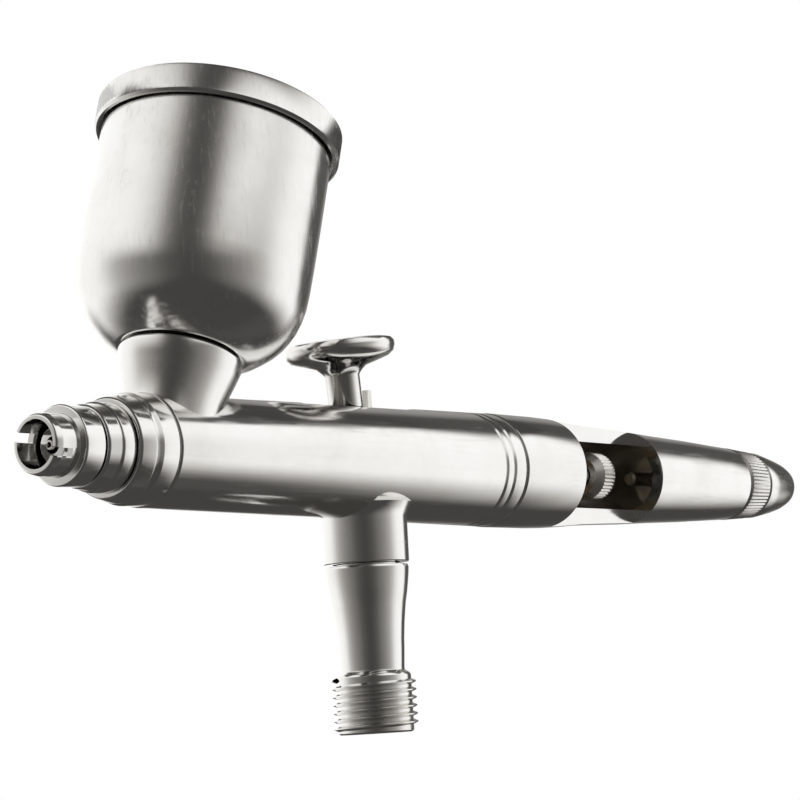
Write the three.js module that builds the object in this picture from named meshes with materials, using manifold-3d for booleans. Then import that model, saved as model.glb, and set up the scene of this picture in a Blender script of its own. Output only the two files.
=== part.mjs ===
// Dual-action, gravity-feed airbrush gun, in millimetres, +Z up.
// The origin is the middle of the air inlet's end face. The gun lies along X
// with its nozzle towards -X, and the paint cup leans back over it.

import * as THREE from 'three';
import { mergeVertices } from 'three/addons/utils/BufferGeometryUtils.js';
import Module from 'manifold-3d';

const wasm = await Module();
wasm.setup();

// ---------- driving dimensions ----------

const AXIS_Z = 30.8;            // height of the gun's axis over the air inlet
const GAP = 0.3;                // clearance between pieces that rest on each other
const ROUND = 36;               // sides of the large turned pieces
const ROUND_SMALL = 16;         // sides of the small turned pieces

// needle cap, air cap and head, from the nozzle end backwards
const CROWN_TIP_X = -52.1;
const CROWN_R = 3.2;
const CROWN_BORE_R = 2.5;
const CROWN_LENGTH = 3.2;
const CROWN_FLANGE_R = 4.15;
const CROWN_FLANGE_LENGTH = 2.8;
const NOTCH_WIDTH = 1.0;
const NOTCH_DEPTH = 2.2;
const NOTCH_ANGLE = 21 * Math.PI / 180;
const AIR_CAP_LENGTH = 3.5;
const AIR_CAP_FRONT_R = 4.3;
const AIR_CAP_BACK_R = 4.7;
const AIR_CAP_SPIGOT_R = 2.2;
const AIR_CAP_SPIGOT_LENGTH = 3.7;
const AIR_CAP_BORE_R = 1.75;
const AIR_HOLE_R = 0.9;
const HEAD_LENGTH = 5.0;
const HEAD_FRONT_R = 5.25;
const HEAD_BACK_R = 5.9;
const HEAD_SPIGOT_R = 3.6;
const HEAD_SPIGOT_LENGTH = 2.8;
const HEAD_REAR_SPIGOT_R = 4.1;
const HEAD_REAR_SPIGOT_LENGTH = 2.0;
const SEAM = 0.2;               // width of the joint line between two outer pieces

const NOZZLE_SETBACK = 2.0;     // nozzle's tip behind the crown's rim
const NOZZLE_THREAD_R = 1.75;
const NOZZLE_FLANGE_R = 2.0;
const NOZZLE_SEAL_THICKNESS = 0.5;

// main body
const BODY_FRONT_R = 6.0;
const BODY_BACK_R = 6.9;
const BODY_LENGTH = 60.8;
const BODY_SPIGOT_R = 5.6;
const BODY_SPIGOT_LENGTH = 4.2;
const MAIN_BORE_R = 4.4;
const PAINT_BORE_R = 1.5;
const PACKING_BORE_R = 2.2;
const MAIN_BORE_X = -7.6;       // front end of the bore that holds the trigger
const PACKING_X = -13.8;        // front end of the bore that holds the packing
const GROOVE_X = [19.8, 21.4];
const GROOVE_DEPTH = 0.25;
const GROOVE_WIDTH = 0.5;
const SLOT_FRONT_X = -12.4;
const SLOT_BACK_X = 9.7;
const SLOT_WIDTH = 4.6;
const SLOT_FLOOR = 3.2;         // height of the slot's floor over the axis, in front of the main bore
const AIR_BORE_R = 0.55;
const AIR_BORE_DROP = 5.15;     // distance of the air bore under the axis

// paint cup
const CUP_X = -33.2;            // where the cup's axis meets the gun's axis
const CUP_LEAN = 18 * Math.PI / 180;
const NECK_HEIGHT = 10.65;      // along the cup's axis, from the gun's axis
const NECK_TOP_R = 6.75;
const NECK_FOOT_R = 4.9;
const NECK_BORE_R = 3.2;
const CUP_R = 12.65;
const CUP_WALL = 0.9;
const CUP_SHOULDER = 19.0;      // height where the bowl turns into its cone
const CUP_TOP = 37.0;
const CUP_FOOT_R = 6.95;
const LID_R = 13.5;
const LID_RIM = 3.3;
const LID_BOTTOM = 35.5;
const LID_DOME = 1.3;
const LID_PLUG_DEPTH = 3.0;

// trigger and auxiliary lever
const TRIGGER_X = -1.0;
const TRIGGER_FOOT_Z = 26.0;
const TRIGGER_LEAN = -5.5 * Math.PI / 180;
const TRIGGER_R = 2.0;
const TRIGGER_SHANK_R = 1.5;
const TRIGGER_NECK_R = 1.1;
const TRIGGER_FOOT_R = 1.5;
const TRIGGER_HEIGHT = 16.5;    // from the foot's centre to the underside of the pad
const PAD_R = 6.35;
const PAD_THICKNESS = 2.5;
const PAD_TILT = -3 * Math.PI / 180;
const LEVER_X = 0.95;
const LEVER_THICKNESS = 1.2;
const LEVER_WIDTH = 3.6;
const LEVER_FOOT_Z = 27.05;
const LEVER_SHOULDER_Z = 34.6;
const LEVER_TOP_Z = 39.3;
const LEVER_TAB_WIDTH = 0.8;
const LEVER_TAB_THICKNESS = 0.7;
const LEVER_TAB_OFFSET = 0.2;
const LEVER_FORK_WIDTH = 1.6;

// needle and what carries it
const NEEDLE_R = 0.6;
const NEEDLE_TIP_X = -50.9;
const NEEDLE_TAPER = 12;
const NEEDLE_END_X = 50.6;
const TUBE_X = 2.45;            // front face of the needle tube
const TUBE_R = 1.25;
const TUBE_BORE_R = 0.8;
const TUBE_COLLAR_X = 6.4;
const TUBE_COLLAR_R = 4.1;
const TUBE_COLLAR_LENGTH = 1.2;
const TUBE_END_X = 48.9;
const NUT_X = 46.0;
const NUT_LENGTH = 3.8;
const NUT_R = 3.05;
const SPRING_R = 2.05;
const SPRING_WIRE = 0.55;
const SPRING_TURNS = 9;
const CASE_X = 15.0;
const CASE_LENGTH = 20.4;
const CASE_R = 4.05;
const CASE_BORE_R = 3.2;
const CASE_END_WALL = 1.6;

// handle, lock ring and end knob
const HANDLE_LENGTH = 57.3;
const HANDLE_BORE_R = 4.4;
const HANDLE_BACK_R = 5.0;
const HANDLE_END_WALL_X = 66.0;
const WINDOW_FRONT_X = 36.8;
const WINDOW_BACK_X = 56.2;
const WINDOW_FACE_Y = -1.0;
const RING_LENGTH = 5.8;
const RING_FRONT_R = 5.0;
const RING_BACK_R = 4.65;
const KNOB_LENGTH = 11.0;
const KNOB_R = 4.6;
const SCREW_R = 2.0;
const SCREW_END_X = 64.0;
const STOP_R = 0.9;
const STOP_X = 57.4;            // front end of the rod that stops the needle
const STOP_END_X = 92.0;

// air valve under the body
const BOSS_R = 4.9;
const BOSS_BOTTOM_Z = 19.25;
const BOSS_BORE_R = 3.9;
const FOOT_BORE_R = 3.5;
const VALVE_TOP_Z = 21.4;
const THREAD_R = 4.86;          // G1/8 male thread
const THREAD_ROOT_R = 4.3;
const THREAD_PITCH = 0.907;
const THREAD_LENGTH = 6.8;
const WAIST_R = 3.75;
const INLET_R = 2.7;
const PLUNGER_R = 1.0;
const PLUNGER_CAP_R = 1.9;
const PLUNGER_CAP_THICKNESS = 0.6;
const POPPET_R = 2.1;
const POPPET_Z = 12.3;
const POPPET_THICKNESS = 1.4;
const VALVE_SEAT_Z = 15.0;
const PLUNGER_BORE_R = 1.35;
const GUIDE_Z = 2.6;
const GUIDE_THICKNESS = 2.6;
const PLUNGER_SEAL_Z = 18.4;
const VALVE_SPRING_R = 1.7;
const VALVE_SPRING_WIRE = 0.45;
const VALVE_SPRING_TURNS = 5;

// ---------- values that follow from them ----------

const CROWN_FLANGE_X = CROWN_TIP_X + CROWN_LENGTH;
const AIR_CAP_X = CROWN_FLANGE_X + CROWN_FLANGE_LENGTH + SEAM;
const HEAD_X = AIR_CAP_X + AIR_CAP_LENGTH + SEAM;
const BODY_X = HEAD_X + HEAD_LENGTH + SEAM;
const HANDLE_X = BODY_X + BODY_LENGTH + SEAM;
const HANDLE_END_X = HANDLE_X + HANDLE_LENGTH;
const RING_X = HANDLE_END_X + SEAM;
const KNOB_X = RING_X + RING_LENGTH + SEAM;
const CASE_END_X = CASE_X + CASE_LENGTH;
const LID_TOP = LID_BOTTOM + LID_RIM;
const NOZZLE_TIP_X = CROWN_TIP_X + NOZZLE_SETBACK;
const NOZZLE_FLANGE_X = HEAD_X - 2.2;
const NOZZLE_END_X = HEAD_X + 2.6;
const PLUNGER_TOP_Z = TRIGGER_FOOT_Z - TRIGGER_FOOT_R - GAP;

// ---------- materials ----------

function steel(color, roughness) {
  return new THREE.MeshStandardMaterial({ color, roughness, metalness: 1 });
}

function plastic(color, roughness) {
  return new THREE.MeshStandardMaterial({ color, roughness, metalness: 0 });
}

const CHROME = [0xd8d8d4, 0.12];
const SATIN = [0xc2c2bd, 0.3];
const BRASS = [0xb59a5a, 0.3];
const STAINLESS = [0xb8b8b6, 0.22];

// ---------- solids ----------

// A closed geometry as a solid that can be joined and cut.
function solid(geometry) {
  const bare = geometry.index ? geometry.toNonIndexed() : geometry.clone();
  bare.deleteAttribute('normal');
  bare.deleteAttribute('uv');
  const merged = mergeVertices(bare, 1e-5);
  return new wasm.Manifold(new wasm.Mesh({
    numProp: 3,
    vertProperties: new Float32Array(merged.attributes.position.array),
    triVerts: new Uint32Array(merged.index.array),
  }));
}

// A solid back as a geometry for a mesh.
function geometryOf(manifold) {
  const mesh = manifold.getMesh();
  const geometry = new THREE.BufferGeometry();
  geometry.setAttribute('position', new THREE.BufferAttribute(mesh.vertProperties, 3));
  geometry.setIndex(new THREE.BufferAttribute(mesh.triVerts, 1));
  geometry.computeVertexNormals();
  return geometry;
}

function named(name, manifold, material) {
  const mesh = new THREE.Mesh(geometryOf(manifold), material);
  mesh.name = name;
  return mesh;
}

// A turned solid about Z, from [radius, height] points listed with rising height.
function turned(points, sides) {
  const closed = [[0, points[0][1]], ...points, [0, points[points.length - 1][1]]];
  const outline = closed
    .filter((point, i) => i === 0 || point[0] !== closed[i - 1][0] || point[1] !== closed[i - 1][1])
    .map(([radius, height]) => new THREE.Vector2(radius, height));
  const geometry = new THREE.LatheGeometry(outline, sides);
  geometry.rotateX(Math.PI / 2);
  return geometry;
}

// The same about the gun's axis, from [radius, x] points listed with rising x.
function turnedX(points, sides = ROUND) {
  const geometry = turned(points, sides);
  geometry.rotateY(Math.PI / 2);
  geometry.translate(0, 0, AXIS_Z);
  return solid(geometry);
}

// The same about the air valve's axis.
function turnedZ(points, sides = ROUND) {
  return solid(turned(points, sides));
}

// The same about the cup's leaning axis, with heights from the gun's axis.
function turnedCup(points, sides = ROUND) {
  const geometry = turned(points, sides);
  geometry.rotateY(CUP_LEAN);
  geometry.translate(CUP_X, 0, AXIS_Z);
  return solid(geometry);
}

function block(x0, x1, y0, y1, z0, z1) {
  const geometry = new THREE.BoxGeometry(x1 - x0, y1 - y0, z1 - z0);
  geometry.translate((x0 + x1) / 2, (y0 + y1) / 2, (z0 + z1) / 2);
  return solid(geometry);
}

// A coil spring along Z from z0 to z1, with its ends closed.
function coil(radius, wire, turns, z0, z1, sides = 6, stepsPerTurn = 14) {
  class Helix extends THREE.Curve {
    getPoint(t, target = new THREE.Vector3()) {
      const angle = t * turns * 2 * Math.PI;
      const height = z0 + wire / 2 + t * (z1 - z0 - wire);
      return target.set(radius * Math.cos(angle), radius * Math.sin(angle), height);
    }
  }
  const section = new THREE.Shape();
  section.absarc(0, 0, wire / 2, 0, 2 * Math.PI, false);
  return new THREE.ExtrudeGeometry(section, {
    curveSegments: sides,
    steps: turns * stepsPerTurn,
    extrudePath: new Helix(),
  });
}

// ---------- nozzle end ----------

function crownCap() {
  const flangeEnd = CROWN_FLANGE_X + CROWN_FLANGE_LENGTH;
  const outside = turnedX([
    [CROWN_R - 0.3, CROWN_TIP_X],
    [CROWN_R - 0.15, CROWN_TIP_X + 0.15],
    [CROWN_R, CROWN_TIP_X + 0.8],
    [CROWN_R, CROWN_FLANGE_X],
    [CROWN_FLANGE_R - 0.15, CROWN_FLANGE_X],
    [CROWN_FLANGE_R, CROWN_FLANGE_X + 0.15],
    [CROWN_FLANGE_R, flangeEnd - 0.2],
    [CROWN_FLANGE_R - 0.2, flangeEnd],
  ]);
  const bore = turnedX([[CROWN_BORE_R, CROWN_TIP_X - 1], [CROWN_BORE_R, flangeEnd + 1]]);
  const notch = new THREE.BoxGeometry(2 * NOTCH_DEPTH, 4 * CROWN_R, NOTCH_WIDTH);
  notch.rotateX(NOTCH_ANGLE);
  notch.translate(CROWN_TIP_X, 0, AXIS_Z);
  return outside.subtract(bore).subtract(solid(notch));
}

function airCap() {
  const end = AIR_CAP_X + AIR_CAP_LENGTH;
  const nose = AIR_CAP_X - AIR_CAP_SPIGOT_LENGTH;
  const outside = turnedX([
    [AIR_CAP_SPIGOT_R - 0.5, nose],
    [AIR_CAP_SPIGOT_R, nose + 0.5],
    [AIR_CAP_SPIGOT_R, AIR_CAP_X],
    [AIR_CAP_FRONT_R - 0.2, AIR_CAP_X],
    [AIR_CAP_FRONT_R, AIR_CAP_X + 0.2],
    [AIR_CAP_FRONT_R + 0.15, AIR_CAP_X + 1.7],
    [AIR_CAP_BACK_R - 0.05, AIR_CAP_X + 1.9],
    [AIR_CAP_BACK_R, end],
  ]);
  const bore = turnedX([
    [AIR_HOLE_R, nose - 1],
    [AIR_HOLE_R, nose + 0.7],
    [AIR_CAP_BORE_R, nose + 2.4],
    [AIR_CAP_BORE_R, AIR_CAP_X + 0.4],
    [HEAD_SPIGOT_R + GAP, AIR_CAP_X + 0.4],
    [HEAD_SPIGOT_R + GAP, end + 1],
  ]);
  return outside.subtract(bore);
}

function head() {
  const end = HEAD_X + HEAD_LENGTH;
  const outside = turnedX([
    [HEAD_SPIGOT_R, HEAD_X - HEAD_SPIGOT_LENGTH],
    [HEAD_SPIGOT_R, HEAD_X],
    [HEAD_FRONT_R - 0.2, HEAD_X],
    [HEAD_FRONT_R, HEAD_X + 0.2],
    [HEAD_FRONT_R + 0.4, HEAD_X + 1.8],
    [HEAD_FRONT_R + 0.4, HEAD_X + 2.3],
    [HEAD_BACK_R - 0.05, HEAD_X + 2.7],
    [HEAD_BACK_R, end],
    [HEAD_REAR_SPIGOT_R, end],
    [HEAD_REAR_SPIGOT_R, end + HEAD_REAR_SPIGOT_LENGTH],
  ]);
  const bore = turnedX([
    [2.3, HEAD_X - HEAD_SPIGOT_LENGTH - 1],
    [2.3, HEAD_X - 0.4],
    [NOZZLE_THREAD_R + GAP, HEAD_X - 0.4],
    [NOZZLE_THREAD_R + GAP, NOZZLE_END_X + GAP],
    [PAINT_BORE_R, NOZZLE_END_X + GAP],
    [PAINT_BORE_R, end + HEAD_REAR_SPIGOT_LENGTH + 1],
  ]);
  return outside.subtract(bore);
}

function fluidNozzle() {
  const sealX = HEAD_X - 0.4 - GAP - NOZZLE_SEAL_THICKNESS - GAP;
  const outside = turnedX([
    [0.5, NOZZLE_TIP_X],
    [0.62, NOZZLE_TIP_X + 1.2],
    [1.5, NOZZLE_TIP_X + 3.8],
    [1.5, NOZZLE_FLANGE_X],
    [NOZZLE_FLANGE_R, NOZZLE_FLANGE_X],
    [NOZZLE_FLANGE_R, sealX],
    [NOZZLE_THREAD_R - 0.35, sealX],
    [NOZZLE_THREAD_R - 0.35, HEAD_X],
    [NOZZLE_THREAD_R, HEAD_X],
    [NOZZLE_THREAD_R, NOZZLE_END_X],
  ], ROUND_SMALL);
  const bore = turnedX([
    [0.3, NOZZLE_TIP_X - 1],
    [0.3, NOZZLE_TIP_X + 0.4],
    [0.95, NOZZLE_TIP_X + 6],
    [1.1, NOZZLE_END_X + 1],
  ], ROUND_SMALL);
  return outside.subtract(bore);
}

function nozzleSeal() {
  const x = HEAD_X - 0.4 - GAP - NOZZLE_SEAL_THICKNESS;
  return ringX(NOZZLE_THREAD_R - 0.1, NOZZLE_FLANGE_R + 0.05, x, x + NOZZLE_SEAL_THICKNESS);
}

function ringX(inner, outer, x0, x1, sides = ROUND_SMALL) {
  const outside = turnedX([[outer, x0], [outer, x1]], sides);
  return outside.subtract(turnedX([[inner, x0 - 1], [inner, x1 + 1]], sides));
}

function headSeal() {
  const x = HEAD_X + HEAD_LENGTH + HEAD_REAR_SPIGOT_LENGTH + GAP;
  return ringX(PAINT_BORE_R + 0.5, HEAD_REAR_SPIGOT_R - 0.1, x, x + 0.5, ROUND);
}

// ---------- body and cup ----------

// Outer radius of the body at x, on its straight taper.
function bodyRadius(x) {
  return BODY_FRONT_R + (BODY_BACK_R - BODY_FRONT_R) * (x - BODY_X) / BODY_LENGTH;
}

function mainBody() {
  const end = BODY_X + BODY_LENGTH;
  const outline = [
    [BODY_FRONT_R - 0.2, BODY_X],
    [BODY_FRONT_R, BODY_X + 0.2],
  ];
  for (const x of GROOVE_X) {
    outline.push([bodyRadius(x - GROOVE_WIDTH / 2), x - GROOVE_WIDTH / 2]);
    outline.push([bodyRadius(x) - GROOVE_DEPTH, x]);
    outline.push([bodyRadius(x + GROOVE_WIDTH / 2), x + GROOVE_WIDTH / 2]);
  }
  outline.push([BODY_BACK_R, end - 0.2]);
  outline.push([BODY_BACK_R - 0.2, end]);
  outline.push([BODY_SPIGOT_R, end]);
  outline.push([BODY_SPIGOT_R, end + BODY_SPIGOT_LENGTH]);

  const boss = turnedZ([
    [BOSS_R - 0.1, BOSS_BOTTOM_Z],
    [BOSS_R, BOSS_BOTTOM_Z + 0.1],
    [BOSS_R + 0.1, AXIS_Z - 4],
  ]);
  const neck = turnedCup([
    [NECK_FOOT_R, 2.5],
    [NECK_FOOT_R + 0.25, 4.8],
    [6.05, 8.1],
    [NECK_TOP_R - 0.1, NECK_HEIGHT - 0.2],
    [NECK_TOP_R - 0.25, NECK_HEIGHT],
  ]);
  const bore = turnedX([
    [HEAD_REAR_SPIGOT_R + GAP, BODY_X - 1],
    [HEAD_REAR_SPIGOT_R + GAP, BODY_X + HEAD_REAR_SPIGOT_LENGTH + 0.9],
    [PAINT_BORE_R, BODY_X + HEAD_REAR_SPIGOT_LENGTH + 0.9],
    [PAINT_BORE_R, PACKING_X],
    [PACKING_BORE_R, PACKING_X],
    [PACKING_BORE_R, MAIN_BORE_X],
    [MAIN_BORE_R, MAIN_BORE_X],
    [MAIN_BORE_R, end + BODY_SPIGOT_LENGTH + 1],
  ]);
  const neckBore = turnedCup([
    [PAINT_BORE_R - 0.2, 0.2],
    [NECK_BORE_R, 5.5],
    [NECK_BORE_R, NECK_HEIGHT + 1],
  ], ROUND_SMALL);
  const slotFront = block(SLOT_FRONT_X, MAIN_BORE_X + 0.5, -SLOT_WIDTH / 2, SLOT_WIDTH / 2,
    AXIS_Z + SLOT_FLOOR, AXIS_Z + 9);
  const slot = block(MAIN_BORE_X, SLOT_BACK_X, -SLOT_WIDTH / 2, SLOT_WIDTH / 2, AXIS_Z, AXIS_Z + 9);
  const bossBore = turnedZ([
    [BOSS_BORE_R, BOSS_BOTTOM_Z - 1],
    [BOSS_BORE_R, VALVE_TOP_Z + GAP],
    [FOOT_BORE_R, VALVE_TOP_Z + GAP],
    [FOOT_BORE_R, AXIS_Z - 3],
  ], ROUND_SMALL);
  const airBore = turned([[AIR_BORE_R, BODY_X - 1], [AIR_BORE_R, -2.4]], 10);
  airBore.rotateY(Math.PI / 2);
  airBore.translate(0, 0, AXIS_Z - AIR_BORE_DROP);

  return turnedX(outline, ROUND)
    .add(boss)
    .add(neck)
    .subtract(bore)
    .subtract(neckBore)
    .subtract(slotFront)
    .subtract(slot)
    .subtract(bossBore)
    .subtract(solid(airBore));
}

// Half the cup's outline: a cone out of the neck, a round shoulder and a straight wall.
function cupOutline(inset) {
  const foot = NECK_HEIGHT + GAP;
  return [
    [CUP_FOOT_R - inset, foot + inset * 0.9],
    [9.5 - inset, 12.75 + inset * 0.6],
    [10.9 - inset, 14.2 + inset * 0.5],
    [11.8 - inset, 15.8 + inset * 0.3],
    [12.35 - inset, 17.4 + inset * 0.2],
    [CUP_R - 0.15 - inset, CUP_SHOULDER],
    [CUP_R - inset, CUP_SHOULDER + 8],
  ];
}

function cupBowl() {
  const foot = NECK_HEIGHT + GAP;
  const outside = turnedCup([
    ...cupOutline(0),
    [CUP_R, CUP_TOP],
  ]);
  const inside = turnedCup([
    [NECK_BORE_R, foot - 1],
    [NECK_BORE_R, foot + 0.7],
    ...cupOutline(CUP_WALL),
    [CUP_R - CUP_WALL, CUP_TOP + 1],
  ]);
  return outside.subtract(inside);
}

function cupLid() {
  const outside = turnedCup([
    [LID_R - 0.25, LID_BOTTOM],
    [LID_R, LID_BOTTOM + 0.25],
    [LID_R, LID_TOP - 0.25],
    [LID_R - 0.25, LID_TOP],
    [LID_R - 1.2, LID_TOP],
    [LID_R - 3.2, LID_TOP + LID_DOME * 0.55],
    [LID_R - 8, LID_TOP + LID_DOME * 0.9],
    [0.9, LID_TOP + LID_DOME],
  ]);
  const skirt = turnedCup([
    [CUP_R + GAP, LID_BOTTOM - 1],
    [CUP_R + GAP, CUP_TOP + GAP],
  ]);
  const plugR = CUP_R - CUP_WALL - GAP;
  const plug = turnedCup([
    [plugR - 0.3, CUP_TOP - LID_PLUG_DEPTH],
    [plugR, CUP_TOP - LID_PLUG_DEPTH + 0.3],
    [plugR, CUP_TOP + GAP + 0.5],
  ]);
  const hollow = turnedCup([
    [plugR - 0.9, CUP_TOP - LID_PLUG_DEPTH - 1],
    [plugR - 0.9, CUP_TOP + GAP],
  ]);
  const vent = turnedCup([
    [0.6, CUP_TOP - 1],
    [0.6, LID_TOP + LID_DOME + 1],
  ], 12);
  return outside.subtract(skirt).add(plug).subtract(hollow).subtract(vent);
}

// ---------- trigger ----------

// Places a solid made about Z on the trigger's leaning axis, from the foot's centre.
function onTriggerAxis(geometry) {
  geometry.rotateY(TRIGGER_LEAN);
  geometry.translate(TRIGGER_X, 0, TRIGGER_FOOT_Z);
  return solid(geometry);
}

function trigger() {
  const foot = [];
  for (let i = 1; i <= 5; i += 1) {
    const angle = -Math.PI / 2 + i * 0.4;
    foot.push([TRIGGER_FOOT_R * Math.cos(angle), TRIGGER_FOOT_R * Math.sin(angle)]);
  }
  const stem = onTriggerAxis(turned([
    [0.3, -TRIGGER_FOOT_R],
    ...foot,
    [TRIGGER_NECK_R, 1.15],
    [TRIGGER_NECK_R, 2.2],
    [TRIGGER_SHANK_R, 3.0],
    [TRIGGER_SHANK_R, 5.5],
    [TRIGGER_R, 6.5],
    [TRIGGER_R, TRIGGER_HEIGHT - 1.2],
    [TRIGGER_R + 0.7, TRIGGER_HEIGHT - 0.4],
    [TRIGGER_R + 0.7, TRIGGER_HEIGHT + 0.8],
  ], 28));
  const pad = turned([
    [TRIGGER_R + 0.7, -0.35],
    [PAD_R - 1.8, 0.1],
    [PAD_R - 0.4, 0.7],
    [PAD_R, 1.3],
    [PAD_R, 2.0],
    [PAD_R - 0.5, PAD_THICKNESS],
    [PAD_R - 1.4, PAD_THICKNESS + 0.1],
    [PAD_R - 3.2, PAD_THICKNESS - 0.2],
    [0.8, PAD_THICKNESS - 0.4],
  ], 28);
  pad.rotateY(PAD_TILT);
  pad.translate(0, 0, TRIGGER_HEIGHT);
  const needleSlot = onTriggerAxis(boxAlong(-4, 4, -0.95, 0.95, 3.4, 8.8));
  return stem.add(onTriggerAxis(pad)).subtract(needleSlot);
}

function boxAlong(x0, x1, y0, y1, z0, z1) {
  const geometry = new THREE.BoxGeometry(x1 - x0, y1 - y0, z1 - z0);
  geometry.translate((x0 + x1) / 2, (y0 + y1) / 2, (z0 + z1) / 2);
  return geometry;
}

function auxiliaryLever() {
  const back = LEVER_X + LEVER_THICKNESS;
  const half = LEVER_WIDTH / 2;
  const plate = block(LEVER_X, back, -half, half, LEVER_FOOT_Z, LEVER_SHOULDER_Z);
  const outline = new THREE.Shape();
  outline.moveTo(LEVER_X, LEVER_SHOULDER_Z - 1);
  outline.lineTo(back, LEVER_SHOULDER_Z - 1);
  outline.lineTo(back + LEVER_TAB_OFFSET, LEVER_SHOULDER_Z + 2);
  outline.lineTo(back + LEVER_TAB_OFFSET, LEVER_TOP_Z);
  outline.lineTo(back + LEVER_TAB_OFFSET - LEVER_TAB_THICKNESS, LEVER_TOP_Z);
  outline.lineTo(back + LEVER_TAB_OFFSET - LEVER_TAB_THICKNESS, LEVER_SHOULDER_Z + 2);
  outline.lineTo(LEVER_X, LEVER_SHOULDER_Z);
  const tab = new THREE.ExtrudeGeometry(outline, { depth: LEVER_TAB_WIDTH, bevelEnabled: false });
  tab.translate(0, 0, -LEVER_TAB_WIDTH / 2);
  tab.rotateX(Math.PI / 2);
  const fork = block(LEVER_X - 1, back + 1, -LEVER_FORK_WIDTH / 2, LEVER_FORK_WIDTH / 2,
    LEVER_FOOT_Z - 1, AXIS_Z + 2.4);
  return plate.add(solid(tab)).subtract(fork);
}

// ---------- needle ----------

function needle() {
  return turnedX([
    [0.04, NEEDLE_TIP_X],
    [0.22, NEEDLE_TIP_X + 3],
    [NEEDLE_R, NEEDLE_TIP_X + NEEDLE_TAPER],
    [NEEDLE_R, NEEDLE_END_X],
  ], 16);
}

function needlePacking() {
  return ringX(NEEDLE_R + 0.15, PACKING_BORE_R - 0.2, PACKING_X + GAP, PACKING_X + GAP + 2.4);
}

function packingScrew() {
  const x = PACKING_X + GAP + 2.4 + GAP;
  const ring = ringX(NEEDLE_R + 0.3, PACKING_BORE_R - 0.2, x, MAIN_BORE_X - 0.1);
  const driverSlot = block(MAIN_BORE_X - 0.8, MAIN_BORE_X + 1, -4, 4, AXIS_Z - 0.3, AXIS_Z + 0.3);
  return ring.subtract(driverSlot);
}

function needleTube() {
  const outside = turnedX([
    [TUBE_R, TUBE_X],
    [TUBE_R, TUBE_COLLAR_X],
    [TUBE_COLLAR_R, TUBE_COLLAR_X],
    [TUBE_COLLAR_R, TUBE_COLLAR_X + TUBE_COLLAR_LENGTH],
    [TUBE_R, TUBE_COLLAR_X + TUBE_COLLAR_LENGTH],
    [TUBE_R, TUBE_END_X - 1.0],
    [TUBE_R - 0.25, TUBE_END_X],
  ], ROUND_SMALL);
  const bore = turnedX([[TUBE_BORE_R, TUBE_X - 1], [TUBE_BORE_R, TUBE_END_X + 1]], ROUND_SMALL);
  const slit = block(NUT_X - 6, TUBE_END_X + 1, -0.2, 0.2, AXIS_Z, AXIS_Z + 3);
  return outside.subtract(bore).subtract(slit);
}

function chuckNut() {
  const end = NUT_X + NUT_LENGTH;
  const outside = turnedX([
    [NUT_R - 0.8, NUT_X],
    [NUT_R, NUT_X + 0.9],
    [NUT_R, end - 0.5],
    [NUT_R - 0.5, end],
  ], 24);
  const bore = turnedX([
    [TUBE_R + 0.15, NUT_X - 1],
    [TUBE_R + 0.15, TUBE_END_X + 0.1],
    [NEEDLE_R + 0.2, TUBE_END_X + 0.1],
    [NEEDLE_R + 0.2, end + 1],
  ], ROUND_SMALL);
  return outside.subtract(bore);
}

function needleSpring() {
  const start = TUBE_COLLAR_X + TUBE_COLLAR_LENGTH + 0.1;
  const end = CASE_END_X - CASE_END_WALL - 0.1;
  const geometry = coil(SPRING_R, SPRING_WIRE, SPRING_TURNS, start, end);
  geometry.rotateY(Math.PI / 2);
  geometry.translate(0, 0, AXIS_Z);
  return solid(geometry);
}

function springCase() {
  const outside = turnedX([
    [CASE_R - 0.2, CASE_X],
    [CASE_R, CASE_X + 0.2],
    [CASE_R, CASE_END_X - 0.6],
    [CASE_R - 0.6, CASE_END_X],
  ], 24);
  const bore = turnedX([
    [CASE_BORE_R, CASE_X - 1],
    [CASE_BORE_R, CASE_END_X - CASE_END_WALL],
    [TUBE_R + 0.3, CASE_END_X - CASE_END_WALL],
    [TUBE_R + 0.3, CASE_END_X + 1],
  ], 24);
  return outside.subtract(bore);
}

// ---------- handle ----------

function handle() {
  const seat = HANDLE_X + BODY_SPIGOT_LENGTH;
  const outside = turnedX([
    [BODY_BACK_R - 0.15, HANDLE_X],
    [BODY_BACK_R + 0.05, HANDLE_X + 0.2],
    [BODY_BACK_R + 0.05, 34],
    [6.45, 43],
    [6.15, 54],
    [5.55, 69],
    [HANDLE_BACK_R, HANDLE_END_X - 0.3],
    [HANDLE_BACK_R - 0.3, HANDLE_END_X],
  ]);
  const bore = turnedX([
    [BODY_SPIGOT_R + GAP, HANDLE_X - 1],
    [BODY_SPIGOT_R + GAP, seat + GAP],
    [HANDLE_BORE_R, seat + GAP],
    [HANDLE_BORE_R, HANDLE_END_WALL_X],
    [SCREW_R + GAP, HANDLE_END_WALL_X],
    [SCREW_R + GAP, HANDLE_END_X + 1],
  ]);
  const window = block(WINDOW_FRONT_X, WINDOW_BACK_X, -9, WINDOW_FACE_Y, AXIS_Z - 9, AXIS_Z + 9);
  return outside.subtract(bore).subtract(window);
}

function lockRing() {
  const end = RING_X + RING_LENGTH;
  const outside = turnedX([
    [RING_FRONT_R - 0.3, RING_X],
    [RING_FRONT_R, RING_X + 0.3],
    [RING_BACK_R, end - 0.3],
    [RING_BACK_R - 0.3, end],
  ]);
  return outside.subtract(turnedX([[SCREW_R + GAP, RING_X - 1], [SCREW_R + GAP, end + 1]], ROUND_SMALL));
}

// The rod that the end knob's thread carries forward to stop the needle.
function stopRod() {
  return turnedX([
    [STOP_R - 0.3, STOP_X],
    [STOP_R, STOP_X + 0.3],
    [STOP_R, STOP_END_X],
  ], ROUND_SMALL);
}

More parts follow.
